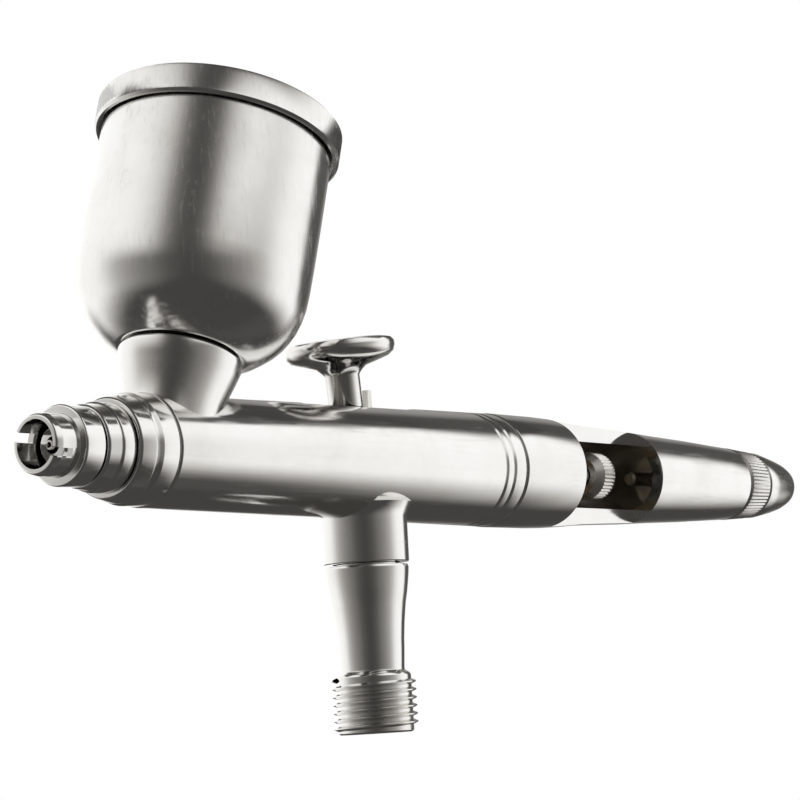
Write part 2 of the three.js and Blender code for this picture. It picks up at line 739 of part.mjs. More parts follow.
// The end knob, whose hollow shank reaches through the handle's end wall.
function endKnob() {
  const outline = [
    [SCREW_R - 0.3, SCREW_END_X],
    [SCREW_R, SCREW_END_X + 0.5],
    [SCREW_R, KNOB_X],
    [KNOB_R - 0.2, KNOB_X],
    [KNOB_R, KNOB_X + 0.2],
    [KNOB_R, KNOB_X + 1.4],
  ];
  const end = KNOB_X + KNOB_LENGTH;
  outline.push([KNOB_R - 0.25, end - 8.0]);
  outline.push([KNOB_R - 0.65, end - 5.5]);
  outline.push([KNOB_R - 1.15, end - 3.1]);
  outline.push([KNOB_R - 1.7, end - 1.4]);
  outline.push([KNOB_R - 2.4, end - 0.5]);
  outline.push([KNOB_R - 3.5, end]);
  const bore = turnedX([
    [STOP_R + GAP, SCREW_END_X - 1],
    [STOP_R + GAP, STOP_END_X + GAP],
  ], ROUND_SMALL);
  return turnedX(outline).subtract(bore);
}

// ---------- air valve ----------

function valveBody() {
  const outline = [[THREAD_ROOT_R, 0]];
  const crests = Math.floor(THREAD_LENGTH / THREAD_PITCH);
  for (let i = 0; i < crests; i += 1) {
    const z = 0.15 + i * THREAD_PITCH;
    outline.push([THREAD_ROOT_R, z]);
    outline.push([THREAD_R, z + THREAD_PITCH * 0.4]);
    outline.push([THREAD_R, z + THREAD_PITCH * 0.55]);
  }
  outline.push([THREAD_ROOT_R, THREAD_LENGTH - 0.35]);
  outline.push([WAIST_R - 0.1, THREAD_LENGTH + 0.4]);
  outline.push([WAIST_R, 9.4]);
  outline.push([WAIST_R + 0.2, 12.4]);
  outline.push([4.25, 14.8]);
  outline.push([4.6, 16.8]);
  outline.push([BOSS_R - 0.1, BOSS_BOTTOM_Z - GAP - 0.3]);
  outline.push([BOSS_R - 0.2, BOSS_BOTTOM_Z - GAP]);
  outline.push([BOSS_BORE_R - GAP, BOSS_BOTTOM_Z - GAP]);
  outline.push([BOSS_BORE_R - GAP, VALVE_TOP_Z]);
  const bore = turnedZ([
    [INLET_R, -1],
    [INLET_R, VALVE_SEAT_Z - 1.2],
    [PLUNGER_BORE_R + 0.3, VALVE_SEAT_Z],
    [PLUNGER_BORE_R, VALVE_SEAT_Z],
    [PLUNGER_BORE_R, 17.2],
    [2.4, 17.2],
    [2.4, VALVE_TOP_Z - 1.2],
    [PLUNGER_BORE_R, VALVE_TOP_Z - 1.2],
    [PLUNGER_BORE_R, VALVE_TOP_Z + 1],
  ], ROUND_SMALL);
  return turnedZ(outline, 32).subtract(bore);
}

function valvePlunger() {
  return turnedZ([
    [POPPET_R, POPPET_Z],
    [POPPET_R, POPPET_Z + 0.5],
    [PLUNGER_R, POPPET_Z + POPPET_THICKNESS],
    [PLUNGER_R, PLUNGER_TOP_Z - PLUNGER_CAP_THICKNESS],
    [PLUNGER_CAP_R, PLUNGER_TOP_Z - PLUNGER_CAP_THICKNESS],
    [PLUNGER_CAP_R, PLUNGER_TOP_Z],
  ], ROUND_SMALL);
}

function valveSeal() {
  return ringZ(PLUNGER_R + 0.15, POPPET_R - 0.4, POPPET_Z + POPPET_THICKNESS + 0.05,
    POPPET_Z + POPPET_THICKNESS + 0.75);
}

function plungerSeal() {
  return ringZ(PLUNGER_R + 0.15, 2.4 - 0.2, PLUNGER_SEAL_Z, PLUNGER_SEAL_Z + 1.1);
}

function ringZ(inner, outer, z0, z1, sides = ROUND_SMALL) {
  const outside = turnedZ([[outer, z0], [outer, z1]], sides);
  return outside.subtract(turnedZ([[inner, z0 - 1], [inner, z1 + 1]], sides));
}

function valveSpring() {
  const end = POPPET_Z - 0.1;
  const start = GUIDE_Z + GUIDE_THICKNESS + 0.1;
  return solid(coil(VALVE_SPRING_R, VALVE_SPRING_WIRE, VALVE_SPRING_TURNS, start, end));
}

function guideScrew() {
  const ring = ringZ(1.3, INLET_R - 0.2, GUIDE_Z, GUIDE_Z + GUIDE_THICKNESS);
  return ring.subtract(block(-4, 4, -0.4, 0.4, GUIDE_Z - 1, GUIDE_Z + 0.8));
}

// ---------- assembly ----------

const airbrush = new THREE.Group();

airbrush.add(
  named('crown_cap', crownCap(), steel(...CHROME)),
  named('air_cap', airCap(), steel(...CHROME)),
  named('nozzle_head', head(), steel(...CHROME)),
  named('fluid_nozzle', fluidNozzle(), steel(...STAINLESS)),
  named('nozzle_seal', nozzleSeal(), plastic(0xf0efe8, 0.5)),
  named('head_seal', headSeal(), plastic(0xf0efe8, 0.5)),
  named('main_body', mainBody(), steel(...CHROME)),
  named('cup_bowl', cupBowl(), steel(...CHROME)),
  named('cup_lid', cupLid(), steel(...CHROME)),
  named('trigger', trigger(), steel(...CHROME)),
  named('auxiliary_lever', auxiliaryLever(), steel(...SATIN)),
  named('needle', needle(), steel(...STAINLESS)),
  named('needle_packing', needlePacking(), plastic(0xf0efe8, 0.5)),
  named('packing_screw', packingScrew(), steel(...BRASS)),
  named('needle_tube', needleTube(), steel(...BRASS)),
  named('chuck_nut', chuckNut(), steel(...SATIN)),
  named('needle_spring', needleSpring(), steel(...STAINLESS)),
  named('spring_case', springCase(), steel(...BRASS)),
  named('handle', handle(), steel(...CHROME)),
  named('lock_ring', lockRing(), steel(...SATIN)),
  named('end_knob', endKnob(), steel(...CHROME)),
  named('stop_rod', stopRod(), steel(...BRASS)),
  named('valve_body', valveBody(), steel(...CHROME)),
  named('valve_plunger', valvePlunger(), steel(...STAINLESS)),
  named('valve_seal', valveSeal(), plastic(0x1c1c1c, 0.6)),
  named('plunger_seal', plungerSeal(), plastic(0x1c1c1c, 0.6)),
  named('valve_spring', valveSpring(), steel(...STAINLESS)),
  named('valve_guide_screw', guideScrew(), steel(...BRASS)),
);

export default airbrush;
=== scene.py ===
# %% [markdown]
# # Dual-action airbrush gun
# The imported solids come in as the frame. Every visible metal piece is rebuilt here at full
# smoothness, in the same place and size, with its knurling, its helical thread and small edges.
# Lengths are in metres, and the frame's origin is the middle of the air inlet's end face.

# %%
import math

import bpy
from mathutils import Matrix, Vector


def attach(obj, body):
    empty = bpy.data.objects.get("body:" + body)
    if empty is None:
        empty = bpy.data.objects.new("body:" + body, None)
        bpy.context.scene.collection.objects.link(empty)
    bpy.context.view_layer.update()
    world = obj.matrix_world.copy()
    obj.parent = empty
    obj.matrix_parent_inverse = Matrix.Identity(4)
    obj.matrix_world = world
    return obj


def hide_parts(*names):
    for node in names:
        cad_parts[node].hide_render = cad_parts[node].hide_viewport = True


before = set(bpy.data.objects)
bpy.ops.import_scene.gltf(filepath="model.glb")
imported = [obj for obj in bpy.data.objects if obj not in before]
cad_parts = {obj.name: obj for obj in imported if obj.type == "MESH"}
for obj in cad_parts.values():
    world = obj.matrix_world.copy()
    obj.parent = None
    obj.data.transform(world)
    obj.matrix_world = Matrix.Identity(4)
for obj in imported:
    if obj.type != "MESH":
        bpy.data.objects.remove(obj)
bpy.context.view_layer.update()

# %% [markdown]
# ## Sizes
# The gun's axis lies along X at one height. The cup's axis leans back from it.

# %%
MM = 0.001
AXIS_Z = 30.8
CUP_X = -33.2
CUP_LEAN = math.radians(18)
SIDES = 128

# Placing matrices: a piece is turned about Z, then laid on the axis that it belongs to.
ON_GUN = Matrix.Translation((0, 0, AXIS_Z)) @ Matrix.Rotation(math.pi / 2, 4, "Y")
ON_CUP = Matrix.Translation((CUP_X, 0, AXIS_Z)) @ Matrix.Rotation(CUP_LEAN, 4, "Y")
ON_VALVE = Matrix.Identity(4)
ON_TRIGGER = Matrix.Translation((-1.0, 0, 26.0)) @ Matrix.Rotation(math.radians(-5.5), 4, "Y")

# %% [markdown]
# ## Modelling helpers
# Each turned piece starts as one vertex that is extruded along its profile and spun a full turn.

# %%
def only(piece):
    """Make one object the only selected and active one."""
    bpy.ops.object.select_all(action="DESELECT")
    piece.select_set(True)
    bpy.context.view_layer.objects.active = piece
    return piece


def rounded(points, radius=0.12, steps=3):
    """The profile with every inner corner cut by a small arc."""
    result = [points[0]]
    for before, corner, after in zip(points, points[1:], points[2:]):
        a = Vector(before) - Vector(corner)
        b = Vector(after) - Vector(corner)
        turn = math.pi - a.angle(b) if a.length and b.length else 0
        if turn < math.radians(12):
            result.append(corner)
            continue
        reach = min(radius, a.length * 0.45, b.length * 0.45)
        start = Vector(corner) + a.normalized() * reach
        end = Vector(corner) + b.normalized() * reach
        for i in range(steps + 1):
            t = i / steps
            here = start * (1 - t) ** 2 + Vector(corner) * 2 * t * (1 - t) + end * t ** 2
            result.append((here.x, here.y))
    result.append(points[-1])
    return result


def spun(name, profile, place, sides=None, edge=0.12, closed=False):
    """A turned piece from (radius, height) points in millimetres."""
    sides = sides or SIDES
    points = rounded(profile, edge) if edge else list(profile)
    bpy.ops.object.select_all(action="DESELECT")
    bpy.ops.mesh.primitive_plane_add(size=1)
    piece = bpy.context.object
    piece.name = name
    bpy.ops.object.mode_set(mode="EDIT")
    bpy.ops.mesh.select_all(action="SELECT")
    bpy.ops.mesh.merge(type="CENTER")
    first = points[0]
    bpy.ops.transform.translate(value=(first[0], 0, first[1]))
    for before, after in zip(points, points[1:]):
        step = (after[0] - before[0], 0, after[1] - before[1])
        bpy.ops.mesh.extrude_region_move(TRANSFORM_OT_translate={"value": step})
    bpy.ops.mesh.select_all(action="SELECT")
    if closed:
        bpy.ops.mesh.remove_doubles(threshold=1e-4)
    bpy.ops.mesh.spin(steps=sides, angle=2 * math.pi, center=(0, 0, 0), axis=(0, 0, 1))
    bpy.ops.mesh.select_all(action="SELECT")
    bpy.ops.mesh.remove_doubles(threshold=2e-4)
    bpy.ops.mesh.normals_make_consistent(inside=False)
    bpy.ops.object.mode_set(mode="OBJECT")
    piece.data.transform(Matrix.Scale(MM, 4) @ place)
    return piece


def slab(name, low, high, place=None):
    """A block between two corners in millimetres."""
    bpy.ops.object.select_all(action="DESELECT")
    bpy.ops.mesh.primitive_cube_add(size=1)
    piece = bpy.context.object
    piece.name = name
    middle = (Vector(low) + Vector(high)) / 2
    size = Vector(high) - Vector(low)
    matrix = Matrix.Translation(middle) @ Matrix.Diagonal((*size, 1))
    piece.data.transform(Matrix.Scale(MM, 4) @ (place or Matrix.Identity(4)) @ matrix)
    return piece


def combine(piece, tool, operation):
    """Join, cut or keep the common part, and remove the tool."""
    only(piece)
    change = piece.modifiers.new("combine", "BOOLEAN")
    change.operation = operation
    change.solver = "MANIFOLD"
    change.object = tool
    bpy.ops.object.modifier_apply(modifier=change.name)
    bpy.data.objects.remove(tool, do_unlink=True)
    return piece


def smooth(piece, degrees=30):
    only(piece)
    bpy.ops.object.shade_smooth_by_angle(angle=math.radians(degrees))
    return piece


def knurl(piece, centre_place, columns, low, high, ridges_radius, depth):
    """Push every other column of a spun band inwards to make straight knurling."""
    inverse = (Matrix.Scale(MM, 4) @ centre_place).inverted()
    forward = Matrix.Scale(MM, 4) @ centre_place
    moved = 0
    for vertex in piece.data.vertices:
        local = inverse @ vertex.co
        radius = math.hypot(local.x, local.y)
        if radius < ridges_radius or not low <= local.z <= high:
            continue
        column = round(math.atan2(local.y, local.x) / (2 * math.pi) * columns)
        if column % 2:
            scale = (radius - depth) / radius
            local.x *= scale
            local.y *= scale
            vertex.co = forward @ local
            moved += 1
    return moved


LID_COLUMNS = 240
NUT_COLUMNS = 80
RING_COLUMNS = 120


def finish_piece(piece, slot, body, material, *nodes):
    """Give a piece its material, its body and the CAD nodes it stands for."""
    piece.data.materials.clear()
    piece.data.materials.append(material)
    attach(piece, body)
    if nodes:
        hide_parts(*nodes)
    print(f"{piece.name}: {len(piece.data.polygons)} faces")
    return piece


# %% [markdown]
# ## Shared wear and grain
# One group gives hairline scratches that run round or along a piece, soft smudges and tiny
# pits. Its outputs feed base colour, roughness and bump of each metal.

# %%
def socket(tree, name, direction, kind, value=None):
    made = tree.interface.new_socket(name=name, in_out=direction, socket_type=kind)
    if value is not None:
        made.default_value = value
    return made


def wear_group():
    tree = bpy.data.node_groups.new("metal_wear", "ShaderNodeTree")
    socket(tree, "Base", "INPUT", "NodeSocketColor", (0.8, 0.8, 0.8, 1))
    socket(tree, "Roughness", "INPUT", "NodeSocketFloat", 0.1)
    socket(tree, "Scratches", "INPUT", "NodeSocketFloat", 0.3)
    socket(tree, "Smudges", "INPUT", "NodeSocketFloat", 0.3)
    socket(tree, "Stretch", "INPUT", "NodeSocketVector", (1.0, 1.0, 1.0))
    socket(tree, "Color", "OUTPUT", "NodeSocketColor")
    socket(tree, "Roughness", "OUTPUT", "NodeSocketFloat")
    socket(tree, "Height", "OUTPUT", "NodeSocketFloat")
    nodes, links = tree.nodes, tree.links
    given = nodes.new("NodeGroupInput")
    result = nodes.new("NodeGroupOutput")
    place = nodes.new("ShaderNodeTexCoord")

    stretch = nodes.new("ShaderNodeVectorMath")
    stretch.operation = "MULTIPLY"
    links.new(place.outputs["Object"], stretch.inputs[0])
    links.new(given.outputs["Stretch"], stretch.inputs[1])

    hairs = nodes.new("ShaderNodeTexNoise")
    hairs.inputs["Scale"].default_value = 2600
    hairs.inputs["Detail"].default_value = 4
    links.new(stretch.outputs[0], hairs.inputs["Vector"])
    lines = nodes.new("ShaderNodeMapRange")
    lines.inputs["From Min"].default_value = 0.52
    lines.inputs["From Max"].default_value = 0.72
    links.new(hairs.outputs[0], lines.inputs["Value"])

    smears = nodes.new("ShaderNodeTexNoise")
    smears.inputs["Scale"].default_value = 120
    smears.inputs["Detail"].default_value = 5
    smears.inputs["Roughness"].default_value = 0.62
    links.new(place.outputs["Object"], smears.inputs["Vector"])
    patches = nodes.new("ShaderNodeMapRange")
    patches.inputs["From Min"].default_value = 0.4
    patches.inputs["From Max"].default_value = 0.7
    links.new(smears.outputs[0], patches.inputs["Value"])

    def times(a, b):
        node = nodes.new("ShaderNodeMath")
        node.operation = "MULTIPLY"
        links.new(a, node.inputs[0])
        if isinstance(b, float):
            node.inputs[1].default_value = b
        else:
            links.new(b, node.inputs[1])
        return node.outputs[0]

    def plus(a, b):
        node = nodes.new("ShaderNodeMath")
        node.operation = "ADD"
        node.use_clamp = True
        links.new(a, node.inputs[0])
        links.new(b, node.inputs[1])
        return node.outputs[0]

    scratched = times(lines.outputs[0], given.outputs["Scratches"])
    smudged = times(patches.outputs[0], given.outputs["Smudges"])
    rough = plus(plus(given.outputs["Roughness"], times(scratched, 0.22)), times(smudged, 0.2))
    links.new(rough, result.inputs["Roughness"])

    dull = nodes.new("ShaderNodeMix")
    dull.data_type = "RGBA"
    dull.blend_type = "MULTIPLY"
    links.new(times(smudged, 0.55), dull.inputs["Factor"])
    links.new(given.outputs["Base"], dull.inputs["A"])
    dull.inputs["B"].default_value = (0.8, 0.77, 0.72, 1)
    links.new(dull.outputs["Result"], result.inputs["Color"])
    links.new(scratched, result.inputs["Height"])
    return tree


WEAR = wear_group()


def metal(name, base, roughness, scratches, smudges, stretch=(1, 1, 1), bump=0.00001):
    material = bpy.data.materials.new(name)
    material.use_nodes = True
    nodes, links = material.node_tree.nodes, material.node_tree.links
    shader = nodes["Principled BSDF"]
    shader.inputs["Metallic"].default_value = 1.0
    wear = nodes.new("ShaderNodeGroup")
    wear.node_tree = WEAR
    wear.inputs["Base"].default_value = (*base, 1)
    wear.inputs["Roughness"].default_value = roughness
    wear.inputs["Scratches"].default_value = scratches
    wear.inputs["Smudges"].default_value = smudges
    wear.inputs["Stretch"].default_value = stretch
    links.new(wear.outputs["Color"], shader.inputs["Base Color"])
    links.new(wear.outputs["Roughness"], shader.inputs["Roughness"])
    relief = nodes.new("ShaderNodeBump")
    relief.inputs["Strength"].default_value = 0.25
    relief.inputs["Distance"].default_value = bump
    links.new(wear.outputs["Height"], relief.inputs["Height"])
    links.new(relief.outputs["Normal"], shader.inputs["Normal"])
    return material


CHROME = metal("polished_chrome", (0.83, 0.825, 0.81), 0.09, 0.5, 0.45, (0.06, 1, 1))
CHROME_UP = metal("polished_chrome_upright", (0.83, 0.825, 0.81), 0.09, 0.5, 0.5, (1, 1, 0.06))
SATIN_CUP = metal("satin_chrome_cup", (0.83, 0.825, 0.81), 0.15, 0.5, 0.5, (1, 1, 0.1))
SATIN = metal("satin_nickel", (0.77, 0.755, 0.73), 0.22, 0.7, 0.5, (1, 1, 1))
STAINLESS = metal("stainless_steel", (0.7, 0.69, 0.67), 0.2, 0.7, 0.3, (0.1, 1, 1))
BRASS = metal("brass", (0.72, 0.55, 0.27), 0.26, 0.6, 0.6, (0.2, 1, 1))
INNER = metal("dull_bore", (0.6, 0.56, 0.5), 0.3, 0.8, 0.8, (0.2, 1, 1))


def soft_material(name, base, roughness):
    """Rubber and seal plastic with a fine grain."""
    material = bpy.data.materials.new(name)
    material.use_nodes = True
    nodes, links = material.node_tree.nodes, material.node_tree.links
    shader = nodes["Principled BSDF"]
    place = nodes.new("ShaderNodeTexCoord")
    grain = nodes.new("ShaderNodeTexNoise")
    grain.inputs["Scale"].default_value = 1500
    grain.inputs["Detail"].default_value = 3
    links.new(place.outputs["Object"], grain.inputs["Vector"])
    tint = nodes.new("ShaderNodeMix")
    tint.data_type = "RGBA"
    links.new(grain.outputs[0], tint.inputs["Factor"])
    tint.inputs["A"].default_value = (*[c * 0.75 for c in base], 1)
    tint.inputs["B"].default_value = (*base, 1)
    links.new(tint.outputs["Result"], shader.inputs["Base Color"])
    shader.inputs["Roughness"].default_value = roughness
    relief = nodes.new("ShaderNodeBump")
    relief.inputs["Strength"].default_value = 0.3
    relief.inputs["Distance"].default_value = 0.00002
    links.new(grain.outputs[0], relief.inputs["Height"])
    links.new(relief.outputs["Normal"], shader.inputs["Normal"])
    return material


SEAL = soft_material("white_seal", (0.85, 0.84, 0.8), 0.5)
RUBBER = soft_material("black_rubber", (0.03, 0.03, 0.03), 0.6)

# %% [markdown]
# ## Nozzle end
# The crown's two notches lie on a line turned a little off level. The air cap and the head
# carry the bright bevels and the dark joint lines between the pieces.

# %%
crown = spun("crown", [
    (2.5, -52.1), (2.9, -52.1), (3.05, -51.95), (3.2, -51.3), (3.2, -48.9), (4.0, -48.9),
    (4.15, -48.75), (4.15, -46.3), (3.95, -46.1), (2.5, -46.1), (2.5, -52.1),
], ON_GUN, edge=0.1, closed=True)
turned_notch = Matrix.Translation((-52.1, 0, AXIS_Z)) @ Matrix.Rotation(math.radians(21), 4, "X")
notch = slab("notch", (-2.2, -8, -0.5), (2.2, 8, 0.5), turned_notch)
combine(crown, notch, "DIFFERENCE")
smooth(crown)
finish_piece(crown, "polished_chrome", "crown", CHROME, "crown_cap")

air_cap = spun("air_cap_piece", [
    (0.9, -49.6), (1.7, -49.6), (2.2, -49.1), (2.2, -45.9), (4.1, -45.9), (4.3, -45.7),
    (4.45, -44.2), (4.65, -44.0), (4.7, -42.4), (3.65, -42.4), (3.65, -45.5), (1.75, -45.5),
    (1.75, -47.2), (0.9, -48.9), (0.9, -49.6),
], ON_GUN, edge=0.08, closed=True)
smooth(air_cap)
finish_piece(air_cap, "polished_chrome", "gun", CHROME, "air_cap")

head = spun("head_piece", [
    (2.3, -45.0), (3.6, -45.0), (3.6, -42.2), (5.05, -42.2), (5.25, -42.0), (5.65, -40.4),
    (5.5, -40.2), (5.6, -39.9), (5.85, -39.5), (5.9, -37.2), (4.1, -37.2), (4.1, -35.2),
    (1.5, -35.2), (1.5, -39.5), (1.8, -39.5), (1.8, -42.6), (2.3, -42.6), (2.3, -45.0),
], ON_GUN, edge=0.07, closed=True)
smooth(head)
finish_piece(head, "polished_chrome", "gun", CHROME, "nozzle_head")

nozzle = spun("nozzle_piece", [
    (0.3, -50.1), (0.5, -50.1), (0.62, -48.9), (1.5, -46.3), (1.5, -44.4), (2.0, -44.4),
    (2.0, -43.7), (1.4, -43.7), (1.4, -42.2), (1.75, -42.2), (1.75, -39.6), (1.1, -39.6),
    (0.95, -44.1), (0.3, -49.7), (0.3, -50.1),
], ON_GUN, sides=48, edge=0.04, closed=True)
smooth(nozzle)
finish_piece(nozzle, "stainless_steel", "gun", STAINLESS, "fluid_nozzle")

# %% [markdown]
# ## Main body
# A tapered barrel with the cup's neck and the valve's boss joined to it, then bored and slotted.

# %%
body = spun("body_shell", [
    (0, -37.0), (5.8, -37.0), (6.0, -36.8), (6.829, 19.5), (6.63, 19.8), (6.836, 20.1),
    (6.845, 21.1), (6.63, 21.4), (6.852, 21.7), (6.9, 23.6), (6.7, 23.8), (5.6, 23.8),
    (5.6, 28.0), (0, 28.0),
], ON_GUN, edge=0.06)
boss = spun("boss", [
    (0, 19.25), (4.8, 19.25), (4.9, 19.35), (4.95, 24.3), (5.25, 25.3), (5.6, 26.0), (0, 26.8),
], ON_VALVE, edge=0)
combine(body, boss, "UNION")
neck = spun("neck", [
    (0, 2.5), (5.1, 2.5), (5.35, 5.2), (5.75, 7.0), (6.3, 8.8), (6.65, 10.1), (6.65, 10.45),
    (6.5, 10.65), (0, 10.65),
], ON_CUP, edge=0)
combine(body, neck, "UNION")
bore = spun("bore", [
    (0, -38), (4.15, -38), (4.15, -34.1), (1.5, -34.1), (1.5, -13.8), (2.2, -13.8),
    (2.2, -7.6), (4.4, -7.6), (4.4, 29), (0, 29),
], ON_GUN, edge=0)
combine(body, bore, "DIFFERENCE")
neck_bore = spun("neck_bore", [(0, 0.2), (1.3, 0.2), (3.2, 5.5), (3.2, 12), (0, 12)], ON_CUP, edge=0)
combine(body, neck_bore, "DIFFERENCE")
boss_bore = spun("boss_bore", [
    (0, 18), (3.9, 18), (3.9, 21.7), (3.5, 21.7), (3.5, 27.8), (0, 27.8),
], ON_VALVE, edge=0)
combine(body, boss_bore, "DIFFERENCE")
combine(body, slab("slot_front", (-12.4, -2.3, 34.0), (-7.1, 2.3, 40)), "DIFFERENCE")
combine(body, slab("slot", (-7.6, -2.3, 30.8), (9.7, 2.3, 40)), "DIFFERENCE")
smooth(body)
finish_piece(body, "polished_chrome", "gun", CHROME, "main_body")

# %% [markdown]
# ## Paint cup and lid
# The bowl is thin-walled with a round shoulder. The lid's rim is finely knurled.

# %%
cup = spun("cup_piece", [
    (3.2, 10.95), (6.75, 10.95), (7.1, 11.1), (8.4, 11.85), (9.5, 12.75), (10.3, 13.5),
    (10.95, 14.3), (11.45, 15.15), (11.85, 16.0), (12.2, 17.1), (12.45, 18.4), (12.55, 20),
    (12.62, 23), (12.65, 27), (12.65, 37.0), (11.75, 37.0), (11.75, 27), (11.65, 19.5),
    (11.3, 17.6), (10.9, 16.1), (10.1, 14.7), (8.7, 13.3), (6.4, 11.85), (3.2, 11.65),
    (3.2, 10.95),
], ON_CUP, edge=0, closed=True)
smooth(cup, 40)
finish_piece(cup, "polished_chrome", "gun", SATIN_CUP, "cup_bowl")

lid = spun("lid_piece", [
    (11.45, 34.3), (11.45, 37.3), (12.95, 37.3), (12.95, 35.5), (13.25, 35.5), (13.5, 35.75),
    (13.5, 36.1), (13.5, 38.2), (13.5, 38.55), (13.25, 38.8), (12.3, 38.8), (10.3, 39.5),
    (5.5, 39.97), (0.6, 40.1), (0.6, 37.3), (10.55, 37.3), (10.55, 34.0), (11.15, 34.0),
    (11.45, 34.3),
], ON_CUP, sides=LID_COLUMNS, edge=0, closed=True)
print("lid ridges:", knurl(lid, ON_CUP, LID_COLUMNS, 36.0, 38.3, 13.3, 0.14))
smooth(lid, 25)
finish_piece(lid, "polished_chrome", "lid", SATIN_CUP, "cup_lid")

# %% [markdown]
# ## Trigger
# The stem stands on a ball foot and is slotted for the needle, under a dished finger pad.

# %%
ball = [(1.5 * math.cos(a), 1.5 * math.sin(a)) for a in [math.radians(d) for d in range(-90, 45, 9)]]
trigger = spun("trigger_piece", [
    (0, -1.5), *ball[1:], (1.1, 1.15), (1.1, 2.2), (1.5, 3.0), (1.5, 5.5), (2.0, 6.5),
    (2.0, 14.8), (2.3, 15.2), (2.9, 15.75), (4.4, 16.2), (5.6, 16.6), (6.2, 17.1), (6.4, 17.7),
    (6.4, 18.2), (6.1, 18.6), (5.5, 18.75), (4.6, 18.7), (3.2, 18.5), (1.6, 18.3), (0, 18.25),
], ON_TRIGGER, edge=0)
combine(trigger, slab("needle_slot", (-4, -0.95, 3.4), (4, 0.95, 8.8), ON_TRIGGER), "DIFFERENCE")
smooth(trigger, 38)
finish_piece(trigger, "polished_chrome", "trigger_lever", CHROME_UP, "trigger")

# %% [markdown]
# ## Handle, needle end and end knob
# One side of the handle is milled flat to open the window on the chuck nut.

# %%
handle = spun("handle_piece", [
    (5.9, 24.0), (6.75, 24.0), (6.95, 24.2), (6.95, 33.0), (6.87, 36.5), (6.68, 40.2), (6.45, 43.5),
    (6.28, 48.5), (6.13, 54.0), (5.82, 61.0), (5.55, 69.0), (5.2, 76.5), (5.0, 81.0),
    (4.8, 81.3), (2.3, 81.3), (2.3, 66.0), (4.4, 66.0), (4.4, 28.5), (5.9, 28.5), (5.9, 24.0),
], ON_GUN, edge=0.05, closed=True)
combine(handle, slab("window", (36.8, -9, 20), (56.2, -1.0, 42)), "DIFFERENCE")
smooth(handle)
handle.data.materials.append(CHROME)
finish_piece(handle, "polished_chrome", "gun", CHROME, "handle")
handle.data.materials.append(INNER)
inside = 0
for face in handle.data.polygons:
    centre = face.center / MM
    radius = math.hypot(centre.y, centre.z - AXIS_Z)
    if radius < 4.45 and abs(face.normal.x) < 0.9:
        face.material_index = 1
        inside += 1
print("bore faces:", inside)

tube = spun("tube_piece", [
    (0.8, 2.45), (1.25, 2.45), (1.25, 6.4), (4.1, 6.4), (4.1, 7.6), (1.25, 7.6), (1.25, 47.9),
    (1.0, 48.9), (0.8, 48.9), (0.8, 2.45),
], ON_GUN, sides=48, edge=0.05, closed=True)
smooth(tube)
finish_piece(tube, "brass", "needle_group", STAINLESS, "needle_tube")

nut = spun("nut_piece", [
    (1.4, 46.0), (2.25, 46.0), (3.05, 46.9), (3.05, 47.1), (3.05, 49.2), (3.05, 49.3),
    (2.55, 49.8), (0.8, 49.8), (0.8, 49.0), (1.4, 49.0), (1.4, 46.0),
], ON_GUN, sides=NUT_COLUMNS, edge=0, closed=True)
print("nut ridges:", knurl(nut, ON_GUN, NUT_COLUMNS, 47.0, 49.25, 2.9, 0.16))
smooth(nut, 25)
finish_piece(nut, "satin_nickel", "nut", SATIN, "chuck_nut")

ring = spun("ring_piece", [
    (2.3, 81.5), (4.7, 81.5), (5.0, 81.8), (4.97, 82.2), (4.71, 86.6), (4.67, 87.0),
    (4.35, 87.3), (2.3, 87.3), (2.3, 81.5),
], ON_GUN, sides=RING_COLUMNS, edge=0, closed=True)
print("ring ridges:", knurl(ring, ON_GUN, RING_COLUMNS, 82.1, 86.7, 4.5, 0.14))
smooth(ring, 25)
finish_piece(ring, "satin_nickel", "ring", SATIN, "lock_ring")

knob = spun("knob_piece", [
    (1.2, 64.0), (1.7, 64.0), (2.0, 64.5), (2.0, 87.5), (4.4, 87.5), (4.6, 87.7), (4.6, 88.9),
    (4.35, 90.5), (3.95, 93.0), (3.45, 95.4), (2.9, 97.1), (2.2, 98.0),
    (1.1, 98.5), (0, 98.5), (0, 92.3), (1.2, 92.3), (1.2, 64.0),
], ON_GUN, edge=0)
smooth(knob)
finish_piece(knob, "polished_chrome", "knob", CHROME, "end_knob")

# %% [markdown]
# ## Air valve with its threaded inlet
# The inlet's thread is a closed ridge that climbs in a helix, so it is turned with a lift.

# %%
valve = spun("valve_piece", [
    (2.7, 0), (4.1, 0), (4.3, 0.2), (4.3, 6.45), (4.15, 6.7), (3.65, 7.0), (3.62, 7.3),
    (3.68, 8.2), (3.75, 9.4), (3.8, 10.6), (3.95, 12.4), (4.1, 13.7), (4.25, 14.8), (4.45, 15.8),
    (4.6, 16.8), (4.75, 18.0), (4.8, 18.65), (4.7, 18.95), (3.6, 18.95), (3.6, 21.4),
    (1.35, 21.4), (1.35, 20.2), (2.4, 20.2), (2.4, 17.2), (1.35, 17.2), (1.35, 15.0),
    (1.65, 15.0), (2.7, 13.8), (2.7, 0),
], ON_VALVE, edge=0.06, closed=True)
smooth(valve)
finish_piece(valve, "polished_chrome", "gun", CHROME_UP, "valve_body")

